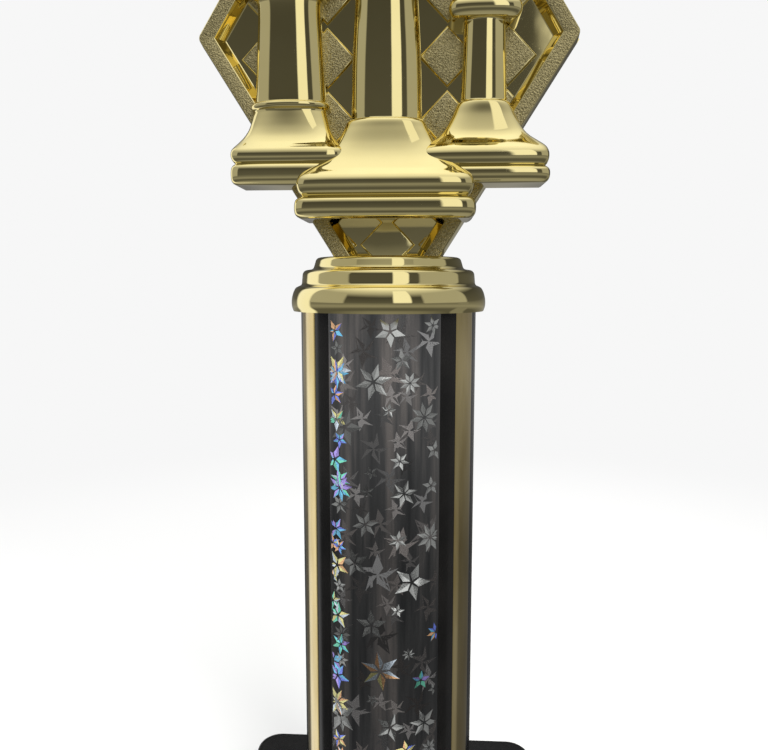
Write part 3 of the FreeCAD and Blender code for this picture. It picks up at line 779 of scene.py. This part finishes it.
def column_tube():
    """The black column, with softened ends."""
    bottom, top = TUBE_LOW.z / MM, TUBE_HIGH.z / MM
    wall, edge = 2.0, 0.25
    profile = [(COLUMN_RADIUS - wall, bottom), (COLUMN_RADIUS - edge, bottom), (COLUMN_RADIUS, bottom + edge),
               (COLUMN_RADIUS, top - edge), (COLUMN_RADIUS - edge, top), (COLUMN_RADIUS - wall, top)]
    verts, faces = lathe(profile, 256, closed=True)
    return make_piece("column_tube", verts, faces, [COLUMN_BLACK], "column", ["column_tube"])


def on_column(angle, radius, z):
    """A point so many degrees round from the front, to the viewer's right for positive."""
    turn = math.radians(angle)
    return (radius * math.sin(turn), -radius * math.cos(turn), z)


def sheet_on_column(name, start, end, material):
    """A thin sheet laid on the column between two angles, its edges pressed down."""
    bottom, top = FILM_LOW.z / MM, FILM_HIGH.z / MM
    steps = max(8, round((end - start) / 1.5))
    rings = []
    for i in range(steps + 1):
        angle = start + (end - start) * i / steps
        thin = 0.6 if i in (0, steps) else 0.0
        lift = FILM_RADIUS - thin * (FILM_RADIUS - COLUMN_RADIUS)
        rings.append([on_column(angle, COLUMN_RADIUS + 0.005, bottom), on_column(angle, lift, bottom),
                      on_column(angle, lift, top), on_column(angle, COLUMN_RADIUS + 0.005, top)])
    verts, faces = skin(rings)
    return make_piece(name, verts, faces, [material], "column", [name])


def facet_triangles(corners, divisions):
    """A triangle divided evenly, as small triangles that can follow the column's curve."""
    a, b, c = corners

    def point(i, j):
        u, v = i / divisions, j / divisions
        return tuple(a[k] + (b[k] - a[k]) * u + (c[k] - a[k]) * v for k in range(2))

    for i in range(divisions):
        for j in range(divisions - i):
            yield point(i, j), point(i + 1, j), point(i, j + 1)
            if i + j < divisions - 1:
                yield point(i + 1, j), point(i + 1, j + 1), point(i, j + 1)


def scattered_stars(rng, sizes, half_span, bottom, top, apart):
    """Places (across, z, radius, rays, turn) of stars that stand apart."""
    stars = []
    for radius in sizes:
        for _ in range(80):
            across = rng.uniform(-half_span, half_span)
            z = rng.uniform(bottom + radius, top - radius)
            if all(math.hypot(across - s[0], z - s[1]) > (radius + s[2]) * apart for s in stars):
                stars.append((across, z, radius * rng.uniform(0.9, 1.08), rng.choice((5, 5, 5, 6, 8)),
                              rng.uniform(0, 2 * math.pi)))
                break
    return stars


PRISM_COLORS = ((0.12, 0.22, 1.0), (0.10, 0.62, 1.0), (0.45, 0.32, 1.0), (0.15, 0.92, 0.62),
                (0.75, 0.88, 1.0), (0.95, 0.88, 0.30), (1.0, 0.52, 0.20))


class StarField:
    """Collects the facets of foil stars on one film."""

    def __init__(self, middle, half_span, rng):
        self.middle, self.half_span, self.rng = middle, half_span, rng
        self.verts, self.faces, self.colors, self.tilts = [], [], [], []

    def facet(self, corners, lift, color, lean_left, lean_up):
        """One facet: its corners as (across, z), and how far its normal leans."""
        radius = FILM_RADIUS + lift
        for triangle in facet_triangles(corners, max(1, round(math.dist(corners[0], corners[2]) / 1.5))):
            center = [sum(p[k] for p in triangle) / 3 for k in range(2)]
            if max(abs(p[0]) for p in triangle) > self.half_span:
                continue
            first = len(self.verts)
            for px, pz in triangle:
                self.verts.append(on_column(self.middle + math.degrees(px / FILM_RADIUS), radius, pz))
            self.faces.append((first, first + 1, first + 2))
            around = math.radians(self.middle) + center[0] / FILM_RADIUS
            tangent = Vector((math.cos(around), math.sin(around), 0.0))
            self.tilts.append(Vector((0, 0, lean_up)) - tangent * lean_left)
            self.colors.append(color)

    def ghost(self, across, z, size, turn):
        """A plain five pointed star, a little lighter or darker than the film."""
        grey = self.rng.choice((0.16, 0.24, 0.34, 0.62, 0.80, 0.92))
        warm = self.rng.uniform(0.0, 0.12)
        color = (grey * (1 + warm), grey, grey * (1 - 0.5 * warm))
        lean_left, lean_up = self.rng.uniform(-0.10, 0.10), self.rng.uniform(-0.04, 0.10)
        for i in range(10):
            corners = [(across, z)]
            for k in (i, i + 1):
                reach = size if k % 2 == 0 else size * 0.42
                angle = turn + math.pi * k / 5
                corners.append((across + reach * math.cos(angle), z + reach * math.sin(angle)))
            self.facet(corners, 0.008, color, lean_left, lean_up)

    def prism(self, across, z, size, rays, turn):
        """A star of separate petals, each with two facets of its own colour and lean. Near the film's left
        edge most petals carry bright rainbow colours, a painted glint.
        """
        # Closeness to the film's left edge, where stars are painted with bright rainbow glints and leaned
        # left.
        edge = max(0.0, 1 - (across + self.half_span) / (0.30 * self.half_span))
        rainbow_foil_or_glint = self.rng.random() < 0.08 + 0.9 * edge
        first_hue = self.rng.randrange(len(PRISM_COLORS))
        grey = self.rng.choice((0.30, 0.42, 0.55, 0.80))
        rise = self.rng.uniform(0.28, 0.52)
        for i in range(rays):
            angle = turn + 2 * math.pi * i / rays
            gap = 0.10 * size
            notch = size * (0.45 if rays < 7 else 0.52)
            base = (across + gap * math.cos(angle), z + gap * math.sin(angle))
            tip = (across + size * math.cos(angle), z + size * math.sin(angle))
            for side in (-1, 1):
                turned = angle + side * math.pi / rays * 0.86
                shoulder = (across + notch * math.cos(turned), z + notch * math.sin(turned))
                if rainbow_foil_or_glint:
                    # Bright rainbow colour: a few are the foil's own hue anywhere, and near the left edge
                    # they are a painted glint.
                    hue = PRISM_COLORS[(first_hue + self.rng.randrange(3)) % len(PRISM_COLORS)]
                    color = tuple(min(1.0, 0.12 + 0.88 * h) for h in hue)
                    lean_left = self.rng.uniform(0.40, 0.60) if edge > 0 else 0.0
                    lean_up = self.rng.uniform(0.0, 0.12) if edge > 0 else rise
                else:
                    shade = grey * self.rng.uniform(0.75, 1.20)
                    color = (shade * 0.98, shade, shade * 0.97)
                    lean_left = self.rng.uniform(-0.16, 0.16)
                    lean_up = rise + self.rng.uniform(-0.06, 0.06)
                self.facet((base, shoulder, tip), 0.016, color, lean_left, lean_up)


def star_field(name, middle, seed):
    """Foil stars on a film whose middle is so many degrees round from the front."""
    rng = random.Random(seed)
    half_span = math.radians(35.2) * FILM_RADIUS
    bottom, top = FILM_LOW.z / MM + 0.5, FILM_HIGH.z / MM - 4.6
    field = StarField(middle, half_span, rng)
    for across, z, size, _, turn in scattered_stars(
            rng, [6.2] * 10 + [4.8] * 24 + [3.6] * 44, half_span, bottom, top, 0.60):
        field.ghost(across, z, size, turn)
    for across, z, size, rays, turn in scattered_stars(
            rng, [6.2] * 8 + [4.6] * 14 + [3.2] * 16 + [2.2] * 12, half_span, bottom, top, 1.10):
        field.prism(across, z, size, rays, turn)
    # A crowd of stars along the film's left edge, mostly painted with bright rainbow glints.
    for across, z, size, rays, turn in scattered_stars(
            rng, [4.8] * 8 + [3.6] * 12 + [2.6] * 12, 0.06 * half_span, bottom, top, 0.78):
        field.prism(across - 0.84 * half_span, z, size, rays, turn)
    mesh = bpy.data.meshes.new(name)
    mesh.from_pydata([tuple(c * MM for c in v) for v in field.verts], [], field.faces)
    mesh.materials.append(STARS)
    color_layer = mesh.attributes.new("facet_color", "FLOAT_COLOR", "FACE")
    tilt_layer = mesh.attributes.new("facet_tilt", "FLOAT_VECTOR", "FACE")
    color_layer.data.foreach_set("color", [c for color in field.colors for c in (*color, 1.0)])
    tilt_layer.data.foreach_set("vector", [c for tilt in field.tilts for c in tilt])
    for polygon in mesh.polygons:
        polygon.use_smooth = True
    stars = bpy.data.objects.new(name, mesh)
    bpy.context.scene.collection.objects.link(stars)
    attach(stars, "column")
    return stars


# ---------------------------------------------------------------- base

def rounded_rectangle(width, depth, radius, z, steps=14):
    """A closed outline with round corners."""
    ring = []
    for cx, cy, first in ((1, 1, 0), (-1, 1, 90), (-1, -1, 180), (1, -1, 270)):
        for i in range(steps + 1):
            angle = math.radians(first + 90 * i / steps)
            ring.append((cx * (width / 2 - radius) + radius * math.cos(angle),
                         cy * (depth / 2 - radius) + radius * math.sin(angle), z))
    return ring


def base_shell():
    """The base shell: softly rounded outside, open below round its boss, with the centring ring."""
    width, depth = (SHELL_HIGH.x - SHELL_LOW.x) / MM, (SHELL_HIGH.y - SHELL_LOW.y) / MM
    bottom, top, corner, edge, wall = SHELL_LOW.z / MM, 27.0, 9.0, 2.5, 3.5
    rings = [rounded_rectangle(width - 2 * wall, depth - 2 * wall, corner - wall, top - wall),
             rounded_rectangle(width - 2 * wall, depth - 2 * wall, corner - wall, bottom),
             rounded_rectangle(width - 0.8, depth - 0.8, corner - 0.4, bottom),
             rounded_rectangle(width, depth, corner, bottom + 0.4)]
    for i in range(9):
        angle = math.radians(90 * i / 8)
        inset = edge * (1 - math.cos(angle))
        rings.append(rounded_rectangle(width - 2 * inset, depth - 2 * inset, corner - inset,
                                       top - edge + edge * math.sin(angle)))
    verts, faces = skin(rings)
    shell = make_piece("base_shell", verts, faces, [BASE_BLACK], "base", ["base_shell"])
    ring_outer, ring_inner, ring_top = COLUMN_RADIUS - 2.15, COLUMN_RADIUS - 4.0, top + 2.0
    join_into(shell, *lathe([(ring_outer, top - 0.1), (ring_outer, ring_top), (ring_inner, ring_top),
                             (ring_inner, top - 0.1)], 96, closed=True))
    boss, rod_hole, pocket, ceiling = 15.0, 3.6, 12.0, 13.0
    join_into(shell, *lathe([(boss, bottom), (boss, top - wall), (rod_hole, top - wall), (rod_hole, ceiling),
                             (pocket, ceiling), (pocket, bottom + 0.3), (pocket + 0.3, bottom)],
                            96, closed=True))
    return shell


def engraving_plate():
    """The blank plate: a brushed face inside a thin raised border, with softened edges."""
    low, high = PLATE_LOW / MM, PLATE_HIGH / MM
    width, height = high.x - low.x, high.z - low.z
    middle = (low.z + high.z) / 2
    rings = []
    for inset, y in ((0.0, high.y), (0.0, low.y + 0.15), (0.15, low.y), (1.3, low.y), (1.45, low.y + 0.12),
                     (1.75, low.y + 0.12), (1.9, low.y)):
        outline = rounded_rectangle(width - 2 * inset, height - 2 * inset, max(0.3, 1.5 - inset), 0.0, 8)
        rings.append([(px, y, middle + py) for px, py, _ in outline])
    verts, faces = skin(rings)
    return make_piece("engraving_plate", verts, faces, [PLATE], "base", ["engraving_plate"])


# ---------------------------------------------------------------- rod

def threaded_rod():
    """The rod with its thread cut as a ridged helix, 20 turns to the inch."""
    low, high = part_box("check_rod")
    bottom, top, crest = low.z / MM, high.z / MM, high.x / MM
    pitch, depth, segments, per_turn = 1.27, 0.72, 32, 6
    rings = []
    steps = int((top - bottom) / pitch * per_turn)
    for i in range(steps + 1):
        z = bottom + (top - bottom) * i / steps
        ring = []
        for j in range(segments):
            phase = ((z - bottom) / pitch - j / segments) % 1.0
            taper = min(1.0, (z - bottom) / 0.8, (top - z) / 0.8)
            ridge = abs(2 * phase - 1)
            radius = crest - depth + depth * ridge * max(0.0, taper)
            angle = 2 * math.pi * j / segments
            ring.append((radius * math.cos(angle), radius * math.sin(angle), z))
        rings.append(ring)
    verts, faces = skin(rings)
    return make_piece("check_rod", verts, faces, [ZINC], "base", ["check_rod"],
                      smooth_angle=50.0)


def dress_frame_nodes():
    """CAD nodes whose own meshes are right get their finished materials."""
    finishes = {
        "base_weight": BALLAST, "base_pad": PAD, "flat_washer": ZINC, "lock_washer": ZINC, "hex_nut": ZINC,
        "column_locator": LOCATOR, "rear_cover": GOLD, "figure_foot": GOLD, "threaded_insert": BRASS,
    }
    for name, material in finishes.items():
        data = NODES[name].data
        for slot in NODES[name].material_slots:
            slot.material = material
        if not data.materials:
            data.materials.append(material)


# ---------------------------------------------------------------- stage

def softbox(name, place, aim, size, power, color=(1.0, 1.0, 1.0)):
    """A soft area light aimed at a point."""
    light = bpy.data.lights.new(name, "AREA")
    light.shape = "RECTANGLE"
    light.size, light.size_y = size
    light.energy = power
    light.color = color
    lamp = bpy.data.objects.new(name, light)
    lamp.location = place
    lamp.rotation_euler = (Vector(aim) - Vector(place)).to_track_quat("-Z", "Y").to_euler()
    lamp.visible_glossy = False
    bpy.context.scene.collection.objects.link(lamp)
    return lamp


def soft_studio():
    """A plain neutral studio: bright overhead, darker before the trophy, with white soft panels.

    Angles are from the front, towards the viewer's right, and up from the horizon.
    """
    world = bpy.data.worlds.new("studio")
    bpy.context.scene.world = world
    world.use_nodes = True
    w = Tree(world.node_tree)
    w.tree.nodes.clear()
    split = w.add("SeparateXYZ")
    w.link(w.add("TexCoord").outputs["Generated"], split.inputs[0])
    x, y, z = split.outputs
    around = w.math("MULTIPLY", w.math("ARCTAN2", x, w.math("MULTIPLY", y, -1.0)), 180 / math.pi)
    height = w.math("MULTIPLY", w.math("ARCSINE", z), 180 / math.pi)
    levels = [(-90, 0.36), (-50, 0.28), (-34, 0.10), (-20, 0.10), (-6, 0.28), (4, 0.10), (24, 0.06),
              (36, 0.40), (60, 0.90), (90, 1.25)]
    share = w.math("DIVIDE", w.math("ADD", height, 90.0), 180.0)
    light = w.ramp(share, [((angle + 90) / 180, (level, level, level)) for angle, level in levels])
    # left, right, bottom and top of each panel, the softness of its sides, and its brightness
    panels = [
        (-128, -104, -70, 50, 8, 1.00),
        (-98, -52, 4, 50, 6, 0.40),
        (10, 28, 6, 50, 3, 1.00),
        (46, 104, 4, 50, 6, 0.40),
        (92, 108, -70, 0, 8, 0.22),
    ]
    for left, right, bottom, top, feather, brightness in panels:
        shape = w.math("MULTIPLY", w.between(around, left, right, feather), w.between(height, bottom, top, 6))
        light = w.math("MAXIMUM", light, w.math("MULTIPLY", shape, brightness))
    studio = w.add("Background")
    w.link(light, studio.inputs["Color"])
    pale = w.add("Background")
    pale.inputs["Color"].default_value = (0.93, 0.93, 0.93, 1.0)
    choice = w.add("MixShader")
    w.link(w.add("LightPath").outputs["Is Camera Ray"], choice.inputs["Fac"])
    w.link(studio.outputs[0], choice.inputs[1])
    w.link(pale.outputs[0], choice.inputs[2])
    w.link(choice.outputs[0], w.add("OutputWorld").inputs["Surface"])


def stage_and_lights():
    """A pale floor and soft lights."""
    mesh = bpy.data.meshes.new("floor")
    half = 3.0
    mesh.from_pydata([(-half, -half, 0), (half, -half, 0), (half, half, 0), (-half, half, 0)], [],
                     [(0, 1, 2, 3)])
    mesh.materials.append(studio_floor())
    floor = bpy.data.objects.new("floor", mesh)
    bpy.context.scene.collection.objects.link(floor)
    floor.visible_glossy = False
    soft_studio()
    middle = (0.0, 0.0, 0.2)
    softbox("key", (0.55, -0.9, 0.95), middle, (0.6, 0.6), 14.0, (1.0, 0.98, 0.94))
    softbox("fill", (-0.9, -0.5, 0.7), middle, (0.8, 0.8), 6.0, (0.94, 0.97, 1.0))
    softbox("back", (0.1, 1.0, 0.9), middle, (0.9, 0.6), 9.0)


def front_camera():
    """The camera close in front, level with the cap, from a little to the viewer's right."""
    distance, azimuth, pitch, pan = 0.2433, math.radians(3.0), math.radians(6.97), math.radians(0.34)
    height = (CAP_TOP - 8.55) * MM
    data = bpy.data.cameras.new("camera")
    data.sensor_width = 36.0
    data.lens = 34.7
    camera = bpy.data.objects.new("camera", data)
    camera.location = (distance * math.sin(azimuth), -distance * math.cos(azimuth), height)
    camera.rotation_euler = (math.pi / 2 - pitch, 0.0, azimuth + pan)
    bpy.context.scene.collection.objects.link(camera)
    bpy.context.scene.camera = camera
    bpy.context.scene.view_settings.view_transform = "Standard"


# ---------------------------------------------------------------- build

dress_frame_nodes()
base_shell()
engraving_plate()
threaded_rod()
column_tube()
sheet_on_column("star_film_front", -36.0, 36.0, FILM)
sheet_on_column("star_film_rear", 144.0, 216.0, FILM)
sheet_on_column("gold_stripe_front_left", -70.0, -49.0, FOIL)
sheet_on_column("gold_stripe_front_right", 49.0, 70.0, FOIL)
sheet_on_column("gold_stripe_rear_right", 110.0, 131.0, FOIL)
sheet_on_column("gold_stripe_rear_left", 229.0, 250.0, FOIL)
star_field("stars_front", 0.0, 11)
star_field("stars_rear", 180.0, 12)
column_cap()
board_frame()
checker_panel()
rook()
king()
pawn()
stage_and_lights()
front_camera()
